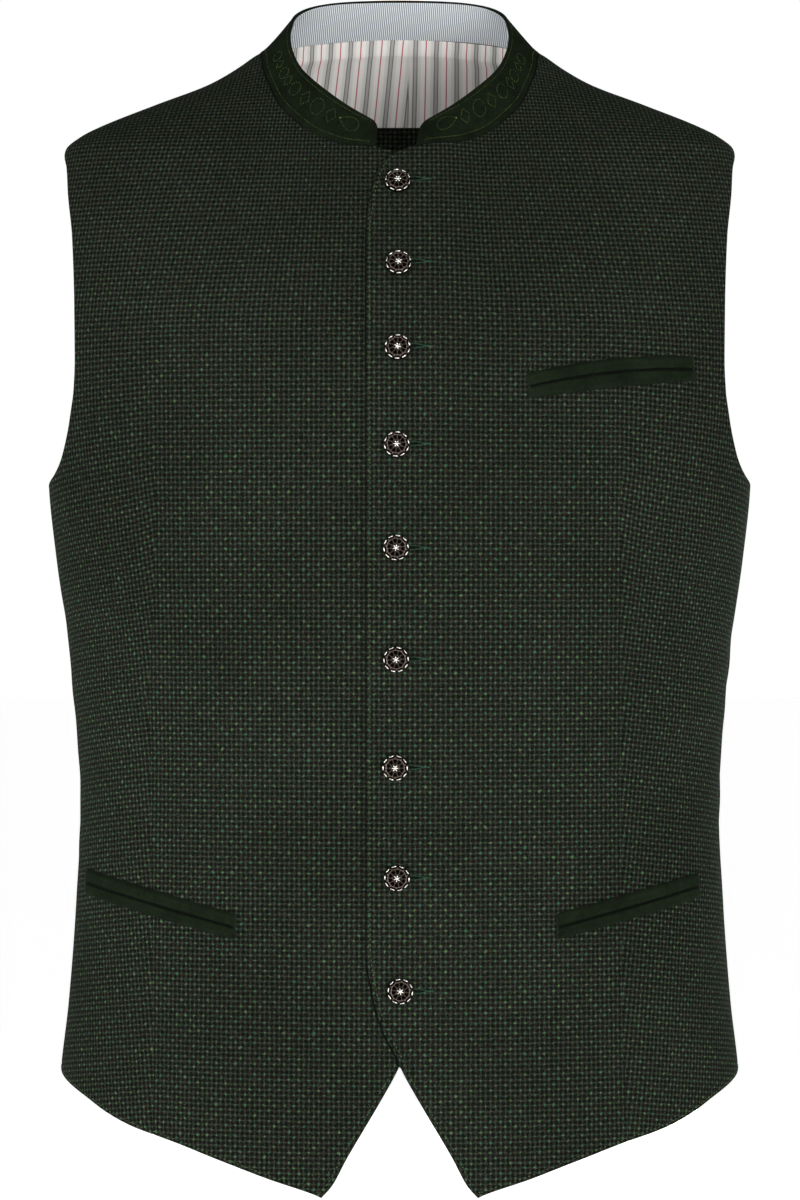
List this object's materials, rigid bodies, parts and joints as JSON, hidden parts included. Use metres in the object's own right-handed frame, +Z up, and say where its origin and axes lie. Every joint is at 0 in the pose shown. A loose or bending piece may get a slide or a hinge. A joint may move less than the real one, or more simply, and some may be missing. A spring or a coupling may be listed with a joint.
{
  "type": "trachten waistcoat",
  "caption": "Worn-shape green waistcoat with embroidered stand collar, buttoned pointed fronts, welt pockets and open armholes.",
  "frame": {"origin": "midway between the two shoulder seams, at half their height, where the wearer's shoulders hold the garment", "axes": "+Z up, the wearer's left is +X, and the front faces -Y"},
  "size_m": [0.403, 0.2594, 0.6803],
  "materials": {
    "birdseye_cloth": "matt dark green bird's-eye weave with small green dots",
    "green_felt": "plain dark green felted cloth with a fine nap",
    "pinstripe_facing": "smooth cotton, fine blue-grey and white pinstripe",
    "striped_lining": "smooth off-white lining with red and grey stripes",
    "button_metal": "antiqued silver-coloured cast metal, dark in its recesses"
  },
  "bodies": {
    "root": {"back_left": "birdseye_cloth", "back_neck_lining": "striped_lining", "back_right": "birdseye_cloth", "button_1": "button_metal", "button_2": "button_metal", "button_3": "button_metal", "button_4": "button_metal", "button_5": "button_metal", "button_6": "button_metal", "button_7": "button_metal", "button_8": "button_metal", "button_9": "button_metal", "collar": "green_felt", "collar_facing": "pinstripe_facing", "front_left": "birdseye_cloth", "front_right": "birdseye_cloth", "welt_chest_lower": "green_felt", "welt_chest_upper": "green_felt", "welt_hip_left_lower": "green_felt", "welt_hip_left_upper": "green_felt", "welt_hip_right_lower": "green_felt", "welt_hip_right_upper": "green_felt"}
  },
  "joints": []
}
